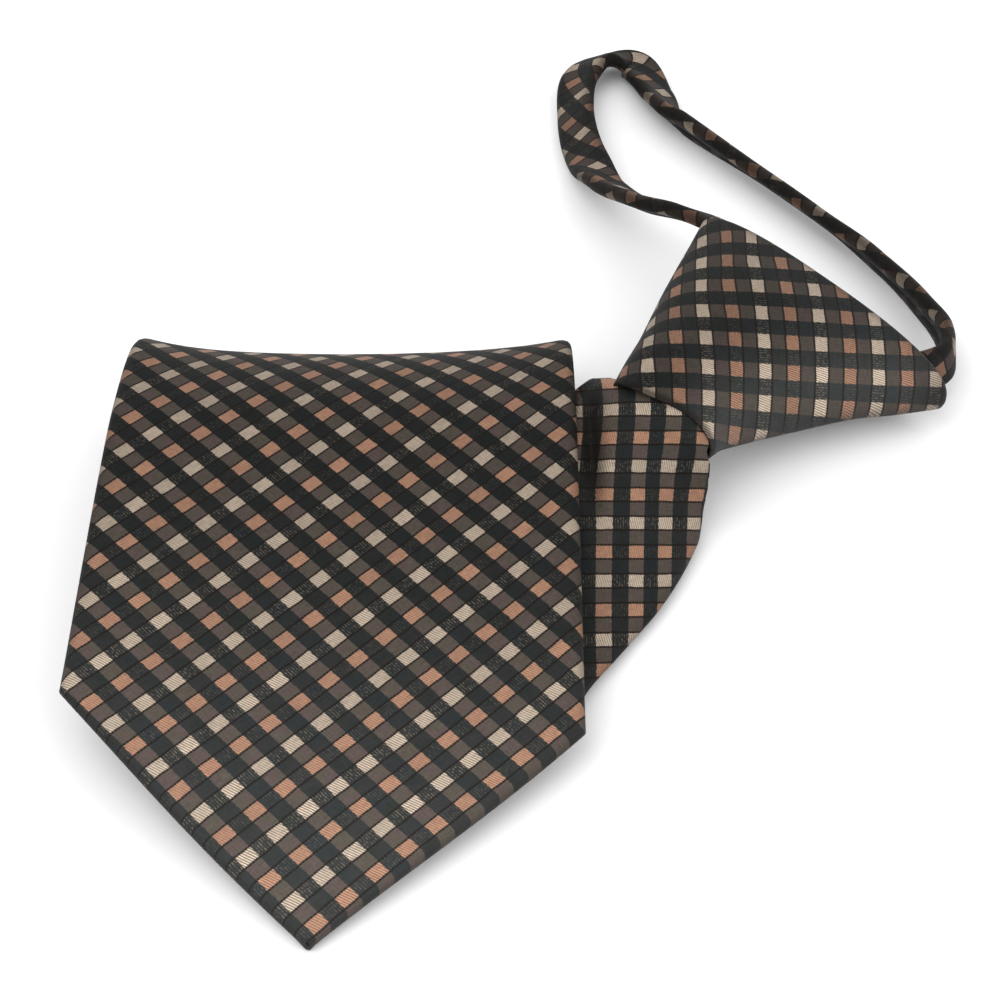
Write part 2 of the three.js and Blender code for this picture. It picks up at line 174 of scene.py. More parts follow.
def panel_spot(across, along):
    cos = math.cos(TOP_TURN_SLANT)
    sin = math.sin(TOP_TURN_SLANT)
    side = across * cos + along * sin
    place = along * cos - across * sin
    steps = np.arange(len(line_y)) * STEP
    line = np.interp(place, steps, line_y) - np.maximum(place - TOP_TURN_ENDS, 0)
    height = np.interp(place, steps, line_z)
    x = side * cos - line * sin
    y = side * sin + line * cos
    turned = PANEL_HEADING - math.pi / 2
    off = smooth(height, TABLE_GAP, TABLE_GAP + 8)
    lean = np.radians(LEAN - LEAN_LOSS * (along - LEAN_AT) / LEAN_AT)
    share = np.clip(across / (0.9 * BLADE_WIDTH / 2), -1, 1)
    corners = np.where(share < 0, LEFT_CORNER_UP, RIGHT_CORNER_UP) * np.abs(share) ** 5
    top_edge = (corners - TOP_SAG * (1 - share ** 2)) * smooth(place, 116, 144)
    curl = SIDE_CURL * (across / (BLADE_WIDTH / 2)) ** 2 + top_edge
    return np.stack([
        TIP_AT[0] + x * math.cos(turned) - y * math.sin(turned),
        TIP_AT[1] + x * math.sin(turned) + y * math.cos(turned),
        height + off * (curl - x * np.tan(lean)),
    ], -1)


# %% [markdown]
# ## The second turn and the run to the knot
# Under the panel the cloth turns again, this time on a slant, and comes out beside the panel. It
# rises to the knot and narrows, so its edges fold down and its middle stands up as a ridge. The run
# is given by the cloth still to go before the knot's mouth: the place and height of its left edge,
# its ridge and its right edge. Near the mouth the edges are shoved up into the knot as well, so that
# the cloth fills it.

# %% Second turn and rear run
REAR_RUN = table(
    "before left leftZ mid midZ right rightZ",
    (60, -24.5, 5.3, 0, 5.3, 24.5, 5.3),
    (50, -24.5, 6.6, -1, 6.8, 21.8, 3.2),
    (37, -24, 8.4, -1.5, 9.3, 20, 2.1),
    (24, -23.5, 10.5, -2, 13, 18.2, 2),
    (12, -22.5, 13, -4, 18.5, 13.8, 2.2),
    (8, -20, 16, -4, 21.8, 11.2, 4),
    (6, -17.2, 18.4, -3.4, 23.3, 10.9, 7.4),
    (4, -14.8, 20.2, -3, 24.4, 11, 10.2),
    (2.5, -12.9, 21.3, -2.5, 24.9, 10.8, 12.4),
    (1, -11.4, 22, -2, 25.1, 9.6, 14),
    (-1, -10.4, 22.5, -1.8, 25.3, 8, 15.2),
    (-8, -9, 21.6, -1.8, 24.2, 6, 15.4),
    (-22, -8, 18.5, -1, 20, 4, 16),
)
SHOVED_UP = table(
    "before left right",
    (60, 0, 0), (26, 0.5, 0.5), (12, 9, 4), (8, 12, 5), (6, 9, 4.4), (4, 5.6, 3),
    (2.5, 2.8, 1.6), (1, 0.9, 0.4), (-1, 0, 0), (-22, 0, 0),
)
ARCH = 1.7  # how flat the ridge's top is
ARCH_AT_MOUTH = 0.5  # and how much flatter it gets at the mouth


def cross(a, b):
    return a[0] * b[1] - a[1] * b[0]


under_angle = 2 * TOP_TURN_SLANT + PANEL_HEADING - math.pi
under_heading = np.array([math.cos(under_angle), math.sin(under_angle)])
axis = unit(under_heading + KNOT_HEADING)
ahead = unit(under_heading - KNOT_HEADING)
TURN_LENGTH = math.pi * SECOND_TURN_RADIUS
under_start = panel_spot(np.array(0.0), np.array(TOP_TURN_ENDS))[:2]
to_mouth = MOUTH - under_start - ahead * TURN_LENGTH
under_length = cross(to_mouth, KNOT_HEADING) / cross(under_heading, KNOT_HEADING)
SECOND_TURN = TOP_TURN_ENDS + under_length
MOUTH_ALONG = SECOND_TURN + float((to_mouth - under_heading * under_length) @ KNOT_HEADING)
turn_sin = float(under_heading @ axis)
turn_cos = float(under_heading @ ahead)
turn_start = panel_spot(np.array(0.0), np.array(SECOND_TURN))[:2]
print("second turn", round(SECOND_TURN, 1), "mm along, the knot's mouth", round(MOUTH_ALONG, 1))

# %% [markdown]
# ## From flat cloth to a place in space
# `blade_spot` takes any spot of the flat cloth and gives where it lies: on the panel, in the second
# turn, or on the rear run. `blade_surface` goes half the cloth's thickness out from there, square to
# the cloth. Working it out by formula takes some thought once, but then every finer skin fits.

# %% Where any spot of the blade lies


def rear_spot(across, along):
    before = MOUTH_ALONG - along
    share = np.clip(across / half_width(along), -1, 1)
    reach = np.abs(share)

    def edge(column, rows=REAR_RUN):
        left = read(rows, before, "left" + column)
        return np.where(share < 0, left, read(rows, before, "right" + column))

    mid = read(REAR_RUN, before, "mid")
    mid_z = read(REAR_RUN, before, "midZ")
    side = mid + reach * (edge("") - mid)
    up = -before + reach ** 2 * edge("", SHOVED_UP)
    arched = ARCH + ARCH_AT_MOUTH * (1 - smooth(before, 1, 14))
    height = mid_z + reach ** arched * (edge("Z") - mid_z)
    spot = MOUTH + side[..., None] * KNOT_RIGHTWARD + up[..., None] * KNOT_HEADING
    return np.concatenate([spot, height[..., None]], -1)


def blade_spot(across, along):
    across, along = np.broadcast_arrays(np.asarray(across, float), np.asarray(along, float))
    past = along - SECOND_TURN
    into = past * turn_cos - across * turn_sin
    angle = np.clip(into / SECOND_TURN_RADIUS, 0, math.pi)
    sideways = across * turn_cos + past * turn_sin
    forward = SECOND_TURN_RADIUS * np.sin(angle)
    turning = turn_start + sideways[..., None] * axis + forward[..., None] * ahead
    rise = TABLE_GAP + SECOND_TURN_RADIUS * (1 - np.cos(angle))
    turning = np.concatenate([turning, rise[..., None]], -1)
    flat = MOUTH + across[..., None] * KNOT_RIGHTWARD - (MOUTH_ALONG - along)[..., None] * KNOT_HEADING
    flat = np.concatenate([flat, np.full(across.shape + (1,), TABLE_GAP + 2 * SECOND_TURN_RADIUS)], -1)
    leaves = smooth(along, MOUTH_ALONG - 62, MOUTH_ALONG - 50)[..., None]
    rear = flat + leaves * (rear_spot(across, along) - flat)
    spot = np.where((into < TURN_LENGTH)[..., None], turning, rear)
    return np.where((into <= 0)[..., None], panel_spot(across, along), spot)


def blade_surface(across, along, over):
    d = 0.05
    a = blade_spot(across + d, along) - blade_spot(across - d, along)
    b = blade_spot(across, along + d) - blade_spot(across, along - d)
    return blade_spot(across, along) + np.asarray(over)[..., None] * unit(np.cross(a, b))


# %% [markdown]
# ## The knot
# The real knot is cloth wrapped round a stiff core. From outside it is an open sleeve that widens
# from its mouth, where the blade comes out, to its rim. Rings of points give it: each ring is a
# squashed circle whose width, height and corners come from a small table.

# %% Rings of the knot
KNOT_LENGTH = 52.4
KNOT_WALL = 2.2
RIM_SLANT = 1.5
MOUTH_SLANT = 3.5
KNOT_SECTIONS = table(
    "up left right leftZ rightZ top bottom square",
    (0, -11.6, 8.8, 21, 15.6, 29.3, 10.6, 2),
    (6, -13.8, 8.6, 20.5, 15, 29.8, 9, 2),
    (12, -15.9, 9.6, 20.2, 14, 29.4, 7, 2),
    (26, -21.3, 14.9, 20, 12, 28, 4.2, 2),
    (38, -25.7, 21, 19.4, 10.8, 26.4, 3, 2),
    (45, -28.1, 25.4, 19, 9.8, 24.4, 3, 2.2),
    (KNOT_LENGTH, -30.8, 30.4, 18.5, 8.8, 22.2, 4.6, 2.5),
)
rim_across = float(KNOT_SECTIONS["right"][-1] - KNOT_SECTIONS["left"][-1])
print("knot", KNOT_LENGTH, "mm long, its rim", round(rim_across, 1), "mm across")


def knot_spot(angle, up, inset):
    angle, up, inset = np.broadcast_arrays(angle, up, inset)
    left, right, left_z, right_z, top, bottom, square = (
        read(KNOT_SECTIONS, up, name) for name in list(KNOT_SECTIONS)[1:]
    )
    middle = (left + right) / 2
    half = (right - left) / 2 - inset
    centre = (left_z + right_z) / 2
    cos = np.cos(angle)
    sin = np.sin(angle)
    share = np.sign(cos) * np.abs(cos) ** (2 / square)
    reach = np.where(sin > 0, top - centre, centre - bottom) - inset
    side = middle + half * share
    slope = (right_z - left_z) / (right - left)
    to_rim = np.clip(up / KNOT_LENGTH, 0, None)
    cut_back = MOUTH_SLANT * ((share + 1) / 2) ** 3 * (1 - to_rim) ** 2
    slanted = up + cut_back - RIM_SLANT * (share + 0.5) * to_rim ** 2
    z = centre + slope * half * share + np.sign(sin) * np.abs(sin) ** (2 / square) * reach
    spot = MOUTH + side[..., None] * KNOT_RIGHTWARD + slanted[..., None] * KNOT_HEADING
    return np.concatenate([spot, z[..., None]], -1)


# %% [markdown]
# ## The neck band and the zip strip
# Both are flat strips that follow a line in space and turn about it. Each row of the band's table is
# a point of its middle line and how far its face leans over there. The band twists once at its far
# end, as the real one does where it lies loose.

# %% Lines of the band and of the strip
BAND_WIDTH = 9.0
BAND_THICKNESS = 3.0
STRIP_WIDTH = 8.0
STRIP_THICKNESS = 1.6
BAND_PATH = table(
    "x y z lean",
    (41.3, 33.2, 15.8, -10), (43.6, 45.2, 17, -10), (46.6, 53.2, 16.8, -14), (44.5, 64.6, 15.2, -34),
    (36.6, 70.8, 14.8, -40), (29, 77.8, 12, -38), (22.3, 90, 7.5, -24), (17.8, 106.2, 4.3, 30),
    (16.3, 120.8, 4, 36), (17.8, 135.2, 4.1, 20), (22.9, 140.6, 4.3, 38), (29.4, 141.2, 2.8, -2),
    (34, 129.6, 3.3, 26), (36.6, 121.3, 3.9, 48), (40.6, 115.4, 4.4, 60), (56, 96.8, 4.4, 48),
    (67.3, 82.2, 4.5, 48), (77.2, 67.4, 4.8, 62), (85.1, 51, 5.5, 74), (87.8, 40, 6.8, 86),
    (86.4, 30.8, 8.4, 82), (78.5, 24.7, 10.1, 78), (70.7, 21.9, 11, 60), (57.2, 18.1, 13, 25),
)
STRIP_PATH = table(
    "up side z",
    (20, -2, 13), (6, -2, 15.6), (-3, -1.8, 15.2), (-12, -1, 9), (-24, 3, 2.6), (-38, 6, 1.1),
)
print("band by", len(BAND_PATH["x"]), "points, strip by", len(STRIP_PATH["z"]))


def through(points, per_span):
    """A smooth line through the points, its direction, and the row that each spot belongs to."""
    ends = [2 * points[0] - points[1], 2 * points[-1] - points[-2]]
    knots = np.vstack([ends[0], points, ends[1]])
    spots = []
    for row in range(len(points) - 1):
        a, b, c, d = knots[row:row + 4]
        gaps = [math.sqrt(np.linalg.norm(q - p)) for p, q in ((a, b), (b, c), (c, d))]
        start = ((b - a) / gaps[0] - (c - a) / (gaps[0] + gaps[1]) + (c - b) / gaps[1]) * gaps[1]
        stop = ((c - b) / gaps[1] - (d - b) / (gaps[1] + gaps[2]) + (d - c) / gaps[2]) * gaps[1]
        last = row == len(points) - 2
        for share in np.linspace(0, 1, per_span + 1)[:None if last else -1, None]:
            bend = 3 * (c - b) - 2 * start - stop
            spots.append(b + share * (start + share * (bend + share * (start + stop - 2 * (c - b)))))
    spots = np.array(spots)
    run = unit(np.gradient(spots, axis=0))
    return spots, run, np.arange(len(spots)) / per_span


def leaning(run, lean):
    """The two directions square to the run: across the face, and out of it."""
    rightward = unit(np.cross(run, [0, 0, 1]))
    face = unit(np.cross(rightward, run))
    cos = np.cos(lean)[:, None]
    sin = np.sin(lean)[:, None]
    return rightward * cos + face * sin, face * cos - rightward * sin


# %% [markdown]
# ## From rings to a mesh
# Every piece here is a closed skin through rings of points, as a sock is a skin through hoops. The
# rings could be bridged by hand in edit mode, but code keeps the order of the points, and with it
# the place of the weave. Each corner of each face gets its place in the check as a UV, counted in
# squares: whole numbers are the middles of the pale and copper squares.

# %% Skin through rings
MM = 0.001


def skin(name, rings, weave, marks, ring_closed=False):
    """rings: (rows, around, 3) in mm. weave: (rows, around + 1, 2), one row more where rows close up."""
    rows, around = rings.shape[:2]
    spans = rows if ring_closed else rows - 1
    r, c = np.meshgrid(np.arange(spans), np.arange(around), indexing="ij")
    corners = [(r, c), (r, c + 1), (r + 1, c + 1), (r + 1, c)]
    faces = np.stack([(a % rows) * around + b % around for a, b in corners], -1).reshape(-1, 4).tolist()
    places = np.stack([weave[a, b] for a, b in corners], 2).reshape(-1, 2).tolist()
    points = (rings.reshape(-1, 3) - [*ORIGIN, 0]) * MM
    points = points.tolist()
    if not ring_closed:
        for row, turned in ((0, True), (rows - 1, False)):
            middle = np.mean(points[row * around:(row + 1) * around], axis=0)
            points.append(middle.tolist())
            hub = weave[row].mean(0).tolist()
            for b in range(around):
                pair = [row * around + b, row * around + (b + 1) % around]
                spots = [weave[row, b].tolist(), weave[row, b + 1].tolist()]
                if turned:
                    pair.reverse()
                    spots.reverse()
                faces.append([*pair, len(points) - 1])
                places += [*spots, hub]
    mesh = bpy.data.meshes.new(name)
    mesh.from_pydata(points, [], faces)
    layer = mesh.uv_layers.new(name="weave")
    layer.data.foreach_set("uv", np.array(places, np.float32).ravel())
    for mark, values in marks.items():
        attribute = mesh.attributes.new(mark, "FLOAT", "POINT")
        filled = np.zeros(len(points), np.float32)
        filled[:rows * around] = np.asarray(values, np.float32).ravel()
        attribute.data.foreach_set("value", filled)
    mesh.shade_smooth()
    mesh.update()
    piece = bpy.data.objects.new(name, mesh)
    bpy.context.scene.collection.objects.link(piece)
    print(name, "has", sum(len(f) - 2 for f in faces), "triangles")
    return piece


# %% [markdown]
# ## Section of a folded blade
# Across the blade the cloth is a flat tube: face cloth on top, two flaps folded to the back that
# meet in a middle seam, and a padded lining between. A plain solidify would leave square edges, so
# the section is drawn: it starts at the back seam and goes round by the left edge.

# %% Round a flat section
EDGE_ROUND = 2.2  # how far in from the edge the pressed fold rounds off


def round_section(half, thick, top=56, back=17, bend=8, edge=EDGE_ROUND):
    """Sideways place, height and distance round the cloth, each (rows, around)."""
    half = np.asarray(half, float)[:, None]
    turn = np.minimum(edge, 0.9 * half)
    flat = half - turn
    ramp = np.linspace(0, 1, back, endpoint=False)[None]
    arc = np.linspace(-math.pi / 2, math.pi / 2, bend, endpoint=False)[None]
    level = np.linspace(-1, 1, top, endpoint=False)[None]
    side = np.concatenate([
        -flat * ramp, -flat - turn * np.cos(arc), flat * level, flat + turn * np.cos(arc), flat * (1 - ramp),
    ], 1)
    height = np.concatenate([
        -np.ones_like(flat * ramp), np.sin(arc) * np.ones_like(flat), np.ones_like(flat * level),
        -np.sin(arc) * np.ones_like(flat), -np.ones_like(flat * ramp),
    ], 1) * thick / 2
    closed_side = np.concatenate([side, side[:, :1]], 1)
    closed_height = np.concatenate([height, height[:, :1]], 1)
    round_way = np.hypot(np.diff(closed_side), np.diff(closed_height)).cumsum(1)
    round_way = np.concatenate([np.zeros_like(half), round_way], 1)
    middle = back + bend + top // 2
    return side, height, round_way - round_way[:, middle:middle + 1]


# %% [markdown]
# ## Where the check lies
# On flat cloth its two directions stand square to each other, 45 degrees to the blade, because a tie
# is cut on the bias. Past the second turn and on the knot the cloth is pulled, so there the lattice
# is read against the row frame instead, with one pitch each way. Each row of `PULLED` and `ON_KNOT`
# is one direction of the lattice: its pitch, the way it runs in space, and the count where it
# starts.

# %% The lattice of the check
SQUARE_PITCH = 5.6  # from one square to the next across the pale and copper columns
ROW_PITCH = 6.82  # from one row to the next
FRONT_START = np.array([-7.05, 68.4])
FRONT_ANGLE = math.radians(-43.6)
print("on flat cloth a square repeats every", SQUARE_PITCH, "by", ROW_PITCH, "mm")


def front_weave(across, along):
    x = across - FRONT_START[0]
    y = along - FRONT_START[1]
    cos = math.cos(FRONT_ANGLE)
    sin = math.sin(FRONT_ANGLE)
    return np.stack([(x * cos + y * sin) / SQUARE_PITCH, (y * cos - x * sin) / ROW_PITCH], -1)


PULLED = table(
    "column pitch x y z count",
    (0, 5.23, 0, -0.68, -0.73, 1.14), (1, 6.2, 0.99, 0.03, -0.14, -3.5),
)
ON_KNOT = table(
    "column pitch x y z count",
    (0, 5.74, 0.999, 0.03, -0.045, -8.5), (1, 5.98, 0.013, -0.746, -0.666, 4.79),
)


def pulled_weave(spots, lattice):
    """The check read against the row frame: squares counted along two directions in space."""
    ways = unit(np.stack([lattice["x"], lattice["y"], lattice["z"]], -1)) / lattice["pitch"][:, None]
    return spots @ ways.T + lattice["count"]


# %% [markdown]
# ## Rows of the blade
# The blade's skin is a stack of rings, one across the cloth at each row. The rows lie close together
# where the cloth turns and further apart where it lies flat. In the second turn they slant with the
# fold, otherwise the fold would cut across the faces as steps. Even rows would be simpler to write,
# but they spend most of their triangles where nothing bends.

# %% Place the rows and their points


def blade_rows():
    stops = (
        (POINT_LENGTH, 1.5), (105, 2.2), (TOP_TURN_STARTS, 1.6), (TOP_TURN_ENDS + 1, 0.7),
        (SECOND_TURN - 2, 2.6), (SECOND_TURN + TURN_LENGTH / turn_cos + 1, 0.5),
        (MOUTH_ALONG - 15, 1.6), (MOUTH_ALONG + 3, 0.6), (MOUTH_ALONG + 22, 2.5),
    )
    rows = [0.6]
    for until, every in stops:
        count = max(1, round((until - rows[-1]) / every))
        rows += [rows[-1] + (until - rows[-1]) * i / count for i in range(1, count + 1)]
    return np.array(rows)


rows = blade_rows()
slant = turn_sin / turn_cos * smooth(rows, SECOND_TURN - 45, SECOND_TURN - 4)
slant = slant * (1 - smooth(rows, SECOND_TURN + 14, MOUTH_ALONG - 22))
reach = {}
for way in (-1, 1):
    half = half_width(rows)
    for _ in range(4):
        half = half_width(rows + way * half * slant)
    reach[way] = half
half = (reach[-1] + reach[1]) / 2
off_middle = ((reach[1] - reach[-1]) / 2)[:, None]
side, height, round_way = round_section(half, CLOTH)
across = side + off_middle
along = rows[:, None] + across * slant[:, None]
blade_points = blade_surface(across, along, height)
print("the blade has", len(rows), "rows with", blade_points.shape[1], "points each")

# %% [markdown]
# ## A valley beside the panel
# Where the rear run comes out from under the panel, the knot pulls it to the right. The real cloth
# gives way there in a shallow valley close to the panel's edge, and painted shade darkens it later
# through the fold mark. Sculpting would do, but a soft dip that fades out at both ends can be changed
# later with three sizes.

# %% Press the valley in
VALLEY_X = 17.0
VALLEY_HALF = 1.8
VALLEY_DEPTH = 3.4

from_valley = blade_points[..., 0] - VALLEY_X
valley = np.exp(-(from_valley / VALLEY_HALF) ** 2) * smooth(blade_points[..., 1], -24, -8)
valley = valley * (1 - smooth(blade_points[..., 1], 2, 9))
valley = valley * smooth(along, MOUTH_ALONG - 40, MOUTH_ALONG - 24)
blade_points[..., 2] -= VALLEY_DEPTH * valley
print("the valley is", round(float((VALLEY_DEPTH * valley).max()), 1), "mm deep")

# %% [markdown]
# On the rear run it is read in space, and it is pulled a little sideways next to the panel and at the
# valley. Between the two it changes over under the panel, where it is stretched. The two counts differ
# there by a whole even number of squares, so that pale stays pale and copper stays copper.

PULL_BY_PANEL = 0.7
PULL_AT_VALLEY = 1.4

flat_across = round_way + off_middle
flat_along = rows[:, None] + flat_across * slant[:, None]
lies_flat = front_weave(flat_across, flat_along)
closed_points = np.concatenate([blade_points, blade_points[:, :1]], 1)
x, y = closed_points[..., 0], closed_points[..., 1]
shift = PULL_BY_PANEL * (1 - smooth(x, 24, 31))
shift = shift + PULL_AT_VALLEY * np.exp(-((x - VALLEY_X) / 4) ** 2) * smooth(y, -16, 3)
pulled = pulled_weave(closed_points - shift[..., None] * [1, 0, 0], PULLED)
comes = smooth(rows, SECOND_TURN - 40, SECOND_TURN - 8)[:, None, None]
meeting = np.abs(rows - (SECOND_TURN - 24)).argmin()
whole = np.round((lies_flat - pulled)[meeting].mean(0) / 2) * 2
blade_weave = lies_flat * (1 - comes) + (pulled + whole) * comes
print("squares between the two counts:", whole.tolist())

# %% [markdown]
# ## Marks for the finish
# Three marks are kept on the points. The fold mark is 1 on a pressed edge and fades inwards, and it
# is high in the valley too; it paints shade on both. `back` is 1 on the side that the lining covers.
# The third mark sets how glossy the silky threads are and paints light into their colour: most near
# the point, where the cloth faces the light, and least at the top. Painting them by hand would do the
# same, but these follow the cloth when a size changes.

# %% Mark the blade and build its skin
# Painted light: the rear run keeps this share of brighter colour.
REAR_GLOSS_AND_PAINTED_LIGHT = 0.32

# Painted shade: the pressed edges and the valley darken towards the dark line colour.
painted_fold_shade = np.maximum(np.exp(-(half[:, None] + 0.4 - np.abs(side)) / 0.8), 0.9 * valley)
back = (height < -0.9 * CLOTH / 2).astype(float)
# Painted light: brightest near the point, darkest at the top turn; it also raises the gloss.
lustre = 1 - smooth(along, 5, 115) + REAR_GLOSS_AND_PAINTED_LIGHT * smooth(along, SECOND_TURN, SECOND_TURN + 12)
blade = skin("blade_cloth", blade_points, blade_weave, {"painted_fold_shade": painted_fold_shade, "back": back, "lustre": lustre})

# %% [markdown]
# ## The knot's sleeve
# The sleeve goes up the outside, round the rim, back down the inside and round the mouth. It is one
# closed skin, so light can't leak between an outer and an inner sheet. `depth` says how far through
# the wall a ring lies: 0 outside, 1 inside, and a few steps between them at the rim and the mouth.

# %% Rings of the sleeve
THIN_MOUTH = 0.8  # the single cloth at the mouth
KNOT_AROUND = 132

angles = np.linspace(-math.pi / 2, 1.5 * math.pi, KNOT_AROUND, endpoint=False)[::-1]
ups = np.concatenate([np.linspace(0, 12, 11)[:-1], np.linspace(12, KNOT_LENGTH - 0.3, 30)])
rounded = (
    (KNOT_LENGTH + 0.35, 0.12), (KNOT_LENGTH + 0.6, 0.35), (KNOT_LENGTH + 0.6, 0.65),
    (KNOT_LENGTH + 0.35, 0.88),
)
knot_ups = np.concatenate([
    ups, [up for up, _ in rounded], ups[::-1], [KNOT_LENGTH - up for up, _ in reversed(rounded)],
])
shares = [share for _, share in rounded]
depth = np.concatenate([np.zeros(len(ups)), shares, np.ones(len(ups)), shares[::-1]])
wall = THIN_MOUTH + (KNOT_WALL - THIN_MOUTH) * smooth(knot_ups, 2, 16)
insets = depth * wall
knot_points = knot_spot(angles[None], knot_ups[:, None], insets[:, None])
print("the knot has", len(knot_ups), "rings with", KNOT_AROUND, "points each")

# %% [markdown]
# ## The mouth of the knot
# On a real knot the last wrap is pulled tight over the blade. So the mouth's front lip reaches
# further down over the blade's ridge than its sides do, and the whole front is pressed onto it. The
# lip is a smooth bump in the ring's height above the mouth, strongest at one angle round the ring.

# %% Pull the lip down and press the mouth
MOUTH_PRESSED = 1.1
LIP_DOWN = 3.6
LIP_SINK = 0.08
LIP_ANGLE = math.radians(108)
LIP_SPREAD = math.radians(56)

lip = LIP_DOWN * np.exp(-((angles - LIP_ANGLE) / LIP_SPREAD) ** 2)[None]
down = lip * (1 - smooth(knot_ups, 0, 12))[:, None]
knot_points[..., :2] -= down[..., None] * KNOT_HEADING
knot_points[..., 2] -= LIP_SINK * down
facing_up = np.clip(np.sin(angles), 0, 1)[None]
knot_points[..., 2] -= MOUTH_PRESSED * (1 - smooth(knot_ups, 0, 9))[:, None] * facing_up
print("the lip reaches", round(float(down.max()), 1), "mm down the blade")

# %% [markdown]
# ## The check round the knot
# The front of the knot takes its check in space, like the rear run. Carried on round the back, that
# reading would stretch the squares where the cloth turns away from it. So from two angles onwards the
# check just runs on by the distance round the ring, as the real cloth does.

BACK_STARTS = 112  # degrees round the ring
UNDER_STARTS = -28
BACK_WAY = (-0.9, -0.43)
UNDER_WAY = (-0.3, 0.95)

closed = np.concatenate([knot_points, knot_points[:1]])
closed = np.concatenate([closed, closed[:, :1]], 1)
knot_weave = pulled_weave(closed, ON_KNOT)
steps = np.linalg.norm(np.diff(closed, axis=1), axis=2)
round_ring = np.concatenate([np.zeros((len(closed), 1)), steps.cumsum(1)], 1)
to_back = int(np.abs(angles - math.radians(BACK_STARTS)).argmin())
to_under = int(np.abs(angles - math.radians(UNDER_STARTS)).argmin())
for part, edge_ring, way in (
    (slice(0, to_back), to_back, BACK_WAY), (slice(to_under + 1, None), to_under, UNDER_WAY),
):
    run = np.abs(round_ring[:, part] - round_ring[:, edge_ring, None])[..., None]
    knot_weave[:, part] = knot_weave[:, edge_ring, None] + run * unit(np.array(way)) / ON_KNOT["pitch"]
print("longest way round the knot:", round(float(round_ring.max()), 1), "mm")

# %% [markdown]
# ## Marks on the knot
# Painted shade darkens the hem at the mouth and the rim, the lower edge where the cloth turns under,
# and the pinched right corner. The inside is marked as `back`, and is painted dark there as shade.
# The side that faces the light gets painted light, brighter than the rest.

# %% Mark the knot and build its skin
# Painted shade at the hem, along the lower edge and at the pinched corner.
hem_painted_shade = np.exp(-np.minimum(knot_ups, KNOT_LENGTH - knot_ups).clip(0) / 0.4)[:, None]
lower_edge = np.radians(-34 + 13 * smooth(knot_ups, 0, 40))[:, None]
shaded = 0.85 * np.exp(-((angles[None] - lower_edge) / math.radians(13)) ** 2)
corner_painted_shade = 0.8 * np.exp(-(angles[None] / math.radians(34)) ** 2) * smooth(knot_ups, 44, 52)[:, None]
knot_painted_fold_shade = np.maximum(hem_painted_shade, np.maximum(shaded, corner_painted_shade))
inside = np.repeat((depth > 0.5)[:, None], len(angles), 1)
# Painted light on the side of the knot that faces the lamps.
painted_lit_side = 0.88 * (1 - smooth(angles, math.radians(20), math.radians(95)))
knot_lustre = np.repeat(0.1 + painted_lit_side[None], len(knot_ups), 0)
knot = skin("knot_cloth", knot_points, knot_weave,
            {"painted_fold_shade": knot_painted_fold_shade, "back": inside, "lustre": knot_lustre}, ring_closed=True)

# %% [markdown]
# ## Sweeping a flat tube
# The neck band is a narrow tube of the same cloth, pressed flat. Its two folded edges meet in an open
# seam on the side that lies against the collar. A bevel along a curve would give a round cord, so the
# flat section is swept along the line instead, leaning as the table says. The same sweep, without a
# seam, makes the zip strip.

# %% Sweep a flat section along a line
SLIT_HALF = 0.7


def band_section(width, thick, count):
    half = np.full(count, width / 2)
    return round_section(half, thick, top=14, back=7, bend=7, edge=thick / 2)


def sweep(path, leans, width, thick, per_span, slit):
    line, run, places = through(path, per_span)
    row = np.clip(places.astype(int), 0, len(path) - 2)
    ease = smooth(places - row, 0, 1)
    lean = np.radians(leans[row] + ease * (leans[row + 1] - leans[row]))
    over_across, over_face = leaning(run, lean)
    side, height, round_way = band_section(width, thick, len(line))
    sunk = slit * np.exp(-(side / SLIT_HALF) ** 2) * (height < 0)
    points = line[:, None] + side[..., None] * over_across[:, None]
    points = points + (height + sunk)[..., None] * over_face[:, None]
    length = np.concatenate([[0], np.linalg.norm(np.diff(line, axis=0), axis=1).cumsum()])
    weave = np.stack([round_way, np.broadcast_to(length[:, None], round_way.shape)], -1)
    return points, weave, side, height


# %% [markdown]
# ## The neck band's skin
# The band is cut on a slant of its own, so its check is turned against its length. It is also pulled
# when it is sewn, so its squares stand a little further apart. The open seam is marked as `back` and
# painted dark: partly the dark tape inside, partly painted shade. Painted shade darkens both edges,
# and a low, even share of painted light keeps the whole band darker.

# %% Build the band
SLIT = 0.5  # how deep the open seam sinks
BAND_TURN = math.radians(66)
BAND_STRETCH = 1.12

band_line = np.stack([BAND_PATH["x"], BAND_PATH["y"], BAND_PATH["z"]], -1)
band_points, band_flat, side, height = sweep(
    band_line, BAND_PATH["lean"], BAND_WIDTH, BAND_THICKNESS, 14, SLIT)
cos = math.cos(BAND_TURN)
sin = math.sin(BAND_TURN)
band_weave = np.stack([
    (band_flat[..., 0] * cos - band_flat[..., 1] * sin) / (SQUARE_PITCH * BAND_STRETCH) + 1,
    (band_flat[..., 0] * sin + band_flat[..., 1] * cos) / ROW_PITCH + 0.45,
], -1)
# The open seam: partly the dark tape inside, partly painted shade.
slit_mark = (np.abs(side) < 2.6) & (height < 0)
# Painted shade on both edges; a low share of painted light keeps the band darker.
band = skin("band_cloth", band_points, band_weave, {
    "painted_fold_shade": np.exp(-(BAND_WIDTH / 2 - np.abs(side)) / 1.1), "back": slit_mark,
    "lustre": np.full(side.shape, 0.15),
})
print("band length", round(band_flat[-1, 0, 1], 1), "mm")

# %% [markdown]
# ## The zip strip's skin
# The closed zip is a flat strip of tape that comes out under the knot and lies below the rear run.
# The same sweep makes it, from a few places measured along the knot's own heading.

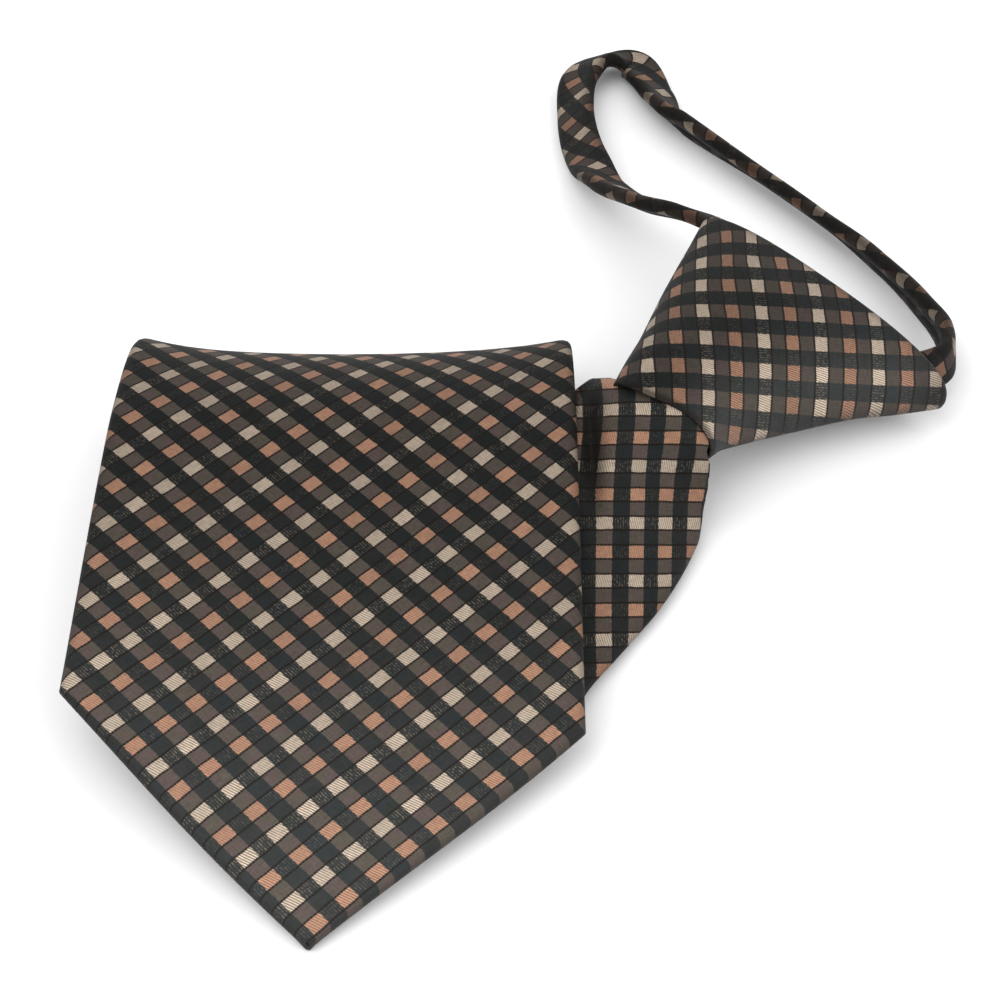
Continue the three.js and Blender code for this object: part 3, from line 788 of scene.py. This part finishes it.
# %% Build the strip
strip_line = (
    MOUTH + STRIP_PATH["side"][:, None] * KNOT_RIGHTWARD + STRIP_PATH["up"][:, None] * KNOT_HEADING
)
strip_line = np.concatenate([strip_line, STRIP_PATH["z"][:, None]], 1)
strip_points, strip_weave, side, height = sweep(
    strip_line, np.zeros(len(strip_line)), STRIP_WIDTH, STRIP_THICKNESS, 10, 0)
strip = skin("zip_tape_strip", strip_points, strip_weave, {"painted_fold_shade": np.abs(side) > 3})

# %% [markdown]
# ## Building a finish from nodes
# A cloth this fine can't be modelled thread by thread, and an image of it would blur close up. A
# few maths nodes draw it at any size. `Finish` keeps the node code short: each call adds one node
# and gives back its output, so a pattern reads like a formula.

# %% A small helper for node materials


def tone(red, green, blue):
    """A colour as screens give it, 0 to 255, turned into the linear one that the shader takes."""
    linear = [c / 12.92 if c <= 0.04045 else ((c + 0.055) / 1.055) ** 2.4
              for c in (red / 255, green / 255, blue / 255)]
    return (*linear, 1.0)


class Finish:
    def __init__(self, name):
        self.material = bpy.data.materials.new(name)
        self.material.use_nodes = True
        self.tree = self.material.node_tree
        self.shader = self.tree.nodes["Principled BSDF"]

    def put(self, socket, value):
        if isinstance(value, bpy.types.NodeSocket):
            self.tree.links.new(value, socket)
        elif value is not None:
            socket.default_value = value

    def add(self, kind, *values, **settings):
        made = self.tree.nodes.new(kind)
        for key, value in settings.items():
            setattr(made, key, value)
        for socket, value in zip(made.inputs, values):
            self.put(socket, value)
        return made

    def maths(self, operation, *values):
        return self.add("ShaderNodeMath", *values, operation=operation).outputs[0]

    def plus(self, a, b):
        return self.maths("ADD", a, b)

    def minus(self, a, b):
        return self.maths("SUBTRACT", a, b)

    def times(self, a, b):
        return self.maths("MULTIPLY", a, b)

    def wave(self, value, count=1):
        return self.maths("SINE", self.times(value, 2 * math.pi * count))

    def between(self, value, low, high):
        """0 below low, 1 above high, and smooth between them."""
        return self.add("ShaderNodeMapRange", value, low, high, 0.0, 1.0,
                        interpolation_type="SMOOTHSTEP").outputs[0]

    def blend(self, share, a, b):
        made = self.add("ShaderNodeMix", share, data_type="RGBA")
        self.put(made.inputs[6], a)
        self.put(made.inputs[7], b)
        return made.outputs[2]

    def scaled(self, colour, factor):
        made = self.add("ShaderNodeVectorMath", colour, operation="SCALE")
        self.put(made.inputs[3], factor)
        return made.outputs[0]

    def noise(self, place, scale, detail=2.0, stretch=None):
        if stretch:
            place = self.add("ShaderNodeVectorMath", place, stretch, operation="MULTIPLY").outputs[0]
        made = self.add("ShaderNodeTexNoise", place)
        made.inputs["Scale"].default_value = scale
        made.inputs["Detail"].default_value = detail
        return made.outputs["Fac"]

    def mark(self, name):
        return self.add("ShaderNodeAttribute", attribute_name=name).outputs["Fac"]

    def bump(self, height, strength, distance):
        made = self.add("ShaderNodeBump")
        made.inputs["Strength"].default_value = strength
        made.inputs["Distance"].default_value = distance
        self.put(made.inputs["Height"], height)
        self.put(self.shader.inputs["Normal"], made.outputs[0])


# %% [markdown]
# ## Where a spot lies in the check
# The real cloth is a jacquard: dark warp and weft, with pale and copper threads that come up only in
# the squares. A checker texture has hard, equal fields, so the pattern is worked out instead from how
# far a spot is from the middle of its column and of its row. Columns stray a little, and threads don't
# all end at the same place, so a little noise goes into both.

# %% Columns, rows and squares
HALF_COLUMN = 0.212  # half a square's width, counted in columns
HALF_ROW = 0.24  # half its height, counted in rows
STRAY = 0.07
RAGGED = 0.05


def find_squares(f):
    f.place = f.add("ShaderNodeUVMap", uv_map="weave").outputs[0]
    split = f.add("ShaderNodeSeparateXYZ", f.place)
    f.j = split.outputs[1]
    f.i = f.plus(split.outputs[0], f.times(f.minus(f.noise(f.place, 2.2), 0.5), STRAY))
    f.column = f.maths("FLOOR", f.plus(f.i, 0.5))
    f.row = f.maths("FLOOR", f.plus(f.j, 0.5))
    f.copper = f.maths("GREATER_THAN", f.maths("FRACT", f.times(f.column, 0.5)), 0.25)
    f.from_column = f.maths("ABSOLUTE", f.minus(f.i, f.column))
    ends = f.times(f.minus(f.noise(f.place, 1.0, 1.0, (15.0, 2.0, 1.0)), 0.5), RAGGED)
    from_row = f.plus(f.maths("ABSOLUTE", f.minus(f.j, f.row)), ends)
    f.in_column = f.minus(1.0, f.between(f.from_column, HALF_COLUMN - 0.01, HALF_COLUMN + 0.01))
    f.in_row = f.minus(1.0, f.between(from_row, HALF_ROW - 0.012, HALF_ROW + 0.012))
    f.square = f.times(f.in_column, f.in_row)
    f.lustre = f.mark("lustre")


# %% [markdown]
# ## Pale and copper squares
# Up close each square is a fine slanting twill, drawn as lines of thread. Painted glints make the
# lines stronger where the painted light is high, and weaker in the copper squares, whose threads are
# duller. The same painted light makes whole squares brighter near the point. No two squares are
# quite the same, so each cell of the lattice draws its own small chance.

# %% Colour of the squares
CREAM = tone(136, 123, 109)
COPPER = tone(126, 94, 76)
TWILLS = 14.0  # slanting thread lines in one pitch
TWILL_SLANT = -3.8


def square_colour(f, painted_light_level):
    cell = f.add("ShaderNodeCombineXYZ", f.column, f.row).outputs[0]
    chance = f.add("ShaderNodeTexWhiteNoise", cell, noise_dimensions="3D").outputs[0]
    f.twill = f.wave(f.plus(f.times(f.i, TWILL_SLANT), f.times(f.j, TWILLS)))
    # Painted glints: the twill lines grow with the painted light.
    f.glint = f.times(f.lustre, f.plus(0.55, chance))
    depth = f.times(f.plus(0.08, f.times(f.glint, 0.6)), f.minus(1.0, f.times(f.copper, 0.4)))
    lift = f.plus(f.times(f.twill, depth), f.times(f.minus(chance, 0.5), 0.16))
    # Painted light: the squares get brighter where the mark is high.
    pale_painted_light = f.plus(0.82, f.times(f.lustre, 0.47))
    copper_painted_light = f.plus(0.86 * painted_light_level, f.times(f.lustre, 0.43 * painted_light_level))
    painted_shine = f.add("ShaderNodeMix", f.copper, data_type="FLOAT")
    f.put(painted_shine.inputs[2], pale_painted_light)
    f.put(painted_shine.inputs[3], copper_painted_light)
    # Painted light and painted glints set each square's brightness.
    light = f.maths("MAXIMUM", f.plus(lift, painted_shine.outputs[0]), 0.2)
    return f.scaled(f.blend(f.copper, CREAM, COPPER), light)


# %% [markdown]
# ## The dark ground
# Between two squares of a row the cloth is brown-grey, and between the rows it is charcoal. Both vary
# a little, slowly, as dyed yarn does. Below the pale squares a few pale threads float through the
# charcoal as short dashes, with painted glints on them. Painted light makes the ground lighter where
# the cloth faces the light, the charcoal most.

# %% Colour of the ground
FLOAT_THREADS = 13


def ground_colour(f, painted_light_level):
    dashes = f.noise(f.place, 1.0, 1.0, (10.0, 24.0, 1.0))
    floats = f.times(f.between(f.wave(f.j, FLOAT_THREADS), -0.5, 0.9), f.between(dashes, 0.45, 0.62))
    floats = f.times(floats, f.in_column)
    # Painted glints on the floats.
    floats = f.times(floats, f.plus(0.18, f.times(f.glint, 0.28)))
    floats = f.times(floats, f.minus(1.0, f.times(f.copper, 0.6)))
    tint = f.between(f.noise(f.place, 1.1), 0.38, 0.62)
    cool = f.between(f.noise(f.place, 0.8, 3.0), 0.45, 0.66)
    charcoal = f.blend(tint, tone(21, 24, 22), tone(26, 26, 26))
    charcoal = f.blend(cool, charcoal, tone(22, 25, 26))
    # Painted light on the charcoal, and below on the brown ground.
    painted_rise = f.times(f.lustre, f.plus(1.0, f.times(f.lustre, 0.5)))
    charcoal = f.scaled(charcoal, f.plus(0.68, painted_rise))
    charcoal = f.blend(floats, charcoal, tone(122, 111, 97))
    plum = f.between(f.noise(f.place, 1.7), 0.4, 0.62)
    brown = f.blend(plum, tone(60, 55, 48), tone(64, 54, 51))
    brown_painted_light = f.plus(0.84 * painted_light_level, f.times(f.lustre, 0.56 * painted_light_level))
    return f.blend(f.in_row, charcoal, f.scaled(brown, brown_painted_light))


# %% [markdown]
# ## Threads, dark lines and folds
# Over everything lie the threads, as faint streaks in both directions of the weave. A nearly black
# line of small stitches runs down both sides of every column. The same dark colour paints shade on
# the pressed folds, and where the piece says so, the back takes the colour of the dark lining: painted
# shade inside the knot, and partly painted shade in the band's open seam.

# %% Threads and lines over the colours
# The dark stitch lines, and painted shade on the folds.
DARK_LINE_AND_SHADE = tone(17, 12, 9)
# The dark lining, used as painted shade inside the knot and in the band's seam.
LINING_AND_SHADE = tone(24, 24, 25)
LINE_STITCHES = 9


def over_threads(f, colour, painted_inside_shade):
    down = f.minus(f.noise(f.place, 1.0, 1.0, (3.0, 42.0, 1.0)), 0.5)
    over = f.minus(f.noise(f.place, 1.0, 1.0, (42.0, 3.0, 1.0)), 0.5)
    streaks = f.plus(f.times(down, 0.8), f.times(over, 0.8))
    colour = f.scaled(colour, f.plus(1.0, streaks))
    edge = f.maths("ABSOLUTE", f.minus(f.from_column, HALF_COLUMN + 0.03))
    stitches = f.plus(0.82, f.times(f.wave(f.j, LINE_STITCHES), 0.16))
    f.near_line = f.times(f.minus(1.0, f.between(edge, 0.02, 0.05)), stitches)
    colour = f.blend(f.near_line, colour, DARK_LINE_AND_SHADE)
    # Painted shade on the folds.
    colour = f.blend(f.times(f.mark("painted_fold_shade"), 0.75), colour, DARK_LINE_AND_SHADE)
    # Painted shade inside, where the piece marks its back.
    return f.blend(f.times(f.mark("back"), painted_inside_shade), colour, LINING_AND_SHADE)


# %% [markdown]
# ## The woven check, put together
# The squares are a little smoother than the ground and stand up from it by a tenth of a millimetre.
# That is too fine for the mesh, so a bump does it. There are two finishes: the blade's is the same
# all round, while the knot's and the band's are painted dark inside as shade, and their copper
# squares and brown ground are painted darker as shade.

# %% Finish of the checked cloth
CLOTH_RIBS = 14


def checked_cloth(name, painted_inside_shade, painted_light_level):
    f = Finish(name)
    find_squares(f)
    squares = square_colour(f, painted_light_level)
    colour = f.blend(f.square, ground_colour(f, painted_light_level), squares)
    f.put(f.shader.inputs["Base Color"], over_threads(f, colour, painted_inside_shade))
    f.put(f.shader.inputs["Roughness"], f.minus(0.62, f.times(f.square, 0.14)))
    gloss = f.times(f.maths("POWER", f.lustre, 2.0), 0.13)
    f.put(f.shader.inputs["Specular IOR Level"], f.plus(0.045, gloss))
    f.shader.inputs["Sheen Weight"].default_value = 0.015
    f.shader.inputs["Sheen Roughness"].default_value = 0.45
    relief = f.plus(f.times(f.twill, 0.3), f.times(f.wave(f.i, CLOTH_RIBS), 0.15))
    relief = f.plus(relief, f.times(f.square, 0.9))
    relief = f.minus(relief, f.times(f.near_line, 0.8))
    f.bump(relief, 0.35, 0.00012)
    return f.material


cloth = checked_cloth("checked_cloth", 0.0, 1.0)
# Knot and band: painted dark inside as shade, copper and brown painted darker as shade.
lined_cloth = checked_cloth("checked_cloth_dark_inside", 0.9, 0.72)
for piece, finish in ((blade, cloth), (knot, lined_cloth), (band, lined_cloth)):
    piece.data.materials.append(finish)
print("check nodes:", len(cloth.node_tree.nodes))

# %% [markdown]
# ## The zip tape
# Hidden behind the knot runs the closed zip. Zip tape is a plain black ribbed weave, so a rib along
# its length and a little noise are enough.

# %% Finish of the zip tape
TAPE_RIB = 0.6  # mm from one rib to the next

tape = Finish("zip_tape")
place = tape.add("ShaderNodeUVMap", uv_map="weave").outputs[0]
ribs = tape.wave(tape.add("ShaderNodeSeparateXYZ", place).outputs[1], 1 / TAPE_RIB)
shade = tape.plus(tape.times(ribs, 0.2), tape.noise(place, 2.0))
shade = tape.blend(tape.between(shade, 0.2, 0.9), tone(20, 20, 21), tone(38, 38, 40))
tape.put(tape.shader.inputs["Base Color"], shade)
tape.shader.inputs["Roughness"].default_value = 0.8
tape.bump(ribs, 0.4, 0.0001)
strip.data.materials.append(tape.material)
print("tape nodes:", len(tape.tree.nodes))

# %% [markdown]
# ## What each piece stands for
# The dressed pieces take the place of the plain CAD nodes and ride on the tie's only body.

# %% Ride and replace
for piece, node, slot in (
    (blade, "blade", "checked_cloth"), (knot, "knot", "checked_cloth"),
    (band, "neck_band", "checked_cloth"), (strip, "zip_strip", "zip_tape"),
):
    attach(piece, "root")
    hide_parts(node)

blade_area = float(np.trapz(2 * half_width(rows), rows))

# %% [markdown]
# ## Floor and light
# The tie was photographed on a white sweep under big soft lights: the floor is nearly white, and only
# close to the cloth is there a soft shadow. An even white world gives most of the light. A large soft
# lamp from the front left lights the panel's point, and a lower one from the front right opens the
# shadow side of the knot. A hard sun would draw edges into the shadows that the real ones don't have.

# %% Floor, world and lamps
FLOOR_HALF = 3.0
WORLD_LIGHT = 1.32

floor_mesh = bpy.data.meshes.new("floor")
corners = [(x * FLOOR_HALF, y * FLOOR_HALF, 0) for x, y in ((-1, -1), (1, -1), (1, 1), (-1, 1))]
floor_mesh.from_pydata(corners, [], [(0, 1, 2, 3)])
floor = bpy.data.objects.new("stage_floor", floor_mesh)
bpy.context.scene.collection.objects.link(floor)
paper = Finish("white_paper")
paper.shader.inputs["Base Color"].default_value = (0.76, 0.76, 0.765, 1)
paper.shader.inputs["Roughness"].default_value = 0.9
paper.shader.inputs["Specular IOR Level"].default_value = 0.1
floor_mesh.materials.append(paper.material)

world = bpy.data.worlds.new("studio")
bpy.context.scene.world = world
world.use_nodes = True
world.node_tree.nodes["Background"].inputs["Color"].default_value = (1, 1, 1, 1)
world.node_tree.nodes["Background"].inputs["Strength"].default_value = WORLD_LIGHT


def soft_lamp(name, place, aim, size, power):
    light = bpy.data.lights.new(name, "AREA")
    light.shape = "DISK"
    light.size = size
    light.energy = power
    lamp = bpy.data.objects.new(name, light)
    lamp.location = place
    lamp.rotation_mode = "QUATERNION"
    lamp.rotation_quaternion = (Vector(aim) - Vector(place)).to_track_quat("-Z", "Y")
    bpy.context.scene.collection.objects.link(lamp)
    print(name, "lamp:", power, "W from a disc of", size, "m")


soft_lamp("key", (-0.5, -0.55, 1.15), (0, 0, 0), 1.2, 8)
soft_lamp("fill", (0.7, -0.75, 0.55), (0.05, 0, 0), 0.8, 3.5)
bpy.context.scene.view_settings.view_transform = "Standard"

# %% [markdown]
# ## Camera
# The angle was recovered from the check itself: on flat cloth its two pitches are known, and how
# much each is foreshortened in the photo gives 42 degrees down and about 0.6 m away.

# %% Camera at the photo's angle
ELEVATION = math.radians(42)
DISTANCE = 0.5989
LENS = 113.8

camera = bpy.data.objects.new("camera", bpy.data.cameras.new("camera"))
camera.data.sensor_fit = "HORIZONTAL"
camera.data.sensor_width = 36.0
camera.data.lens = LENS
camera.location = (
    -ORIGIN[0] * MM, -ORIGIN[1] * MM - DISTANCE * math.cos(ELEVATION), DISTANCE * math.sin(ELEVATION),
)
camera.rotation_euler = (math.pi / 2 - ELEVATION, 0, 0)
bpy.context.scene.collection.objects.link(camera)
bpy.context.scene.camera = camera
print("camera", round(1000 * DISTANCE), "mm away, looking", round(math.degrees(ELEVATION)), "degrees down")
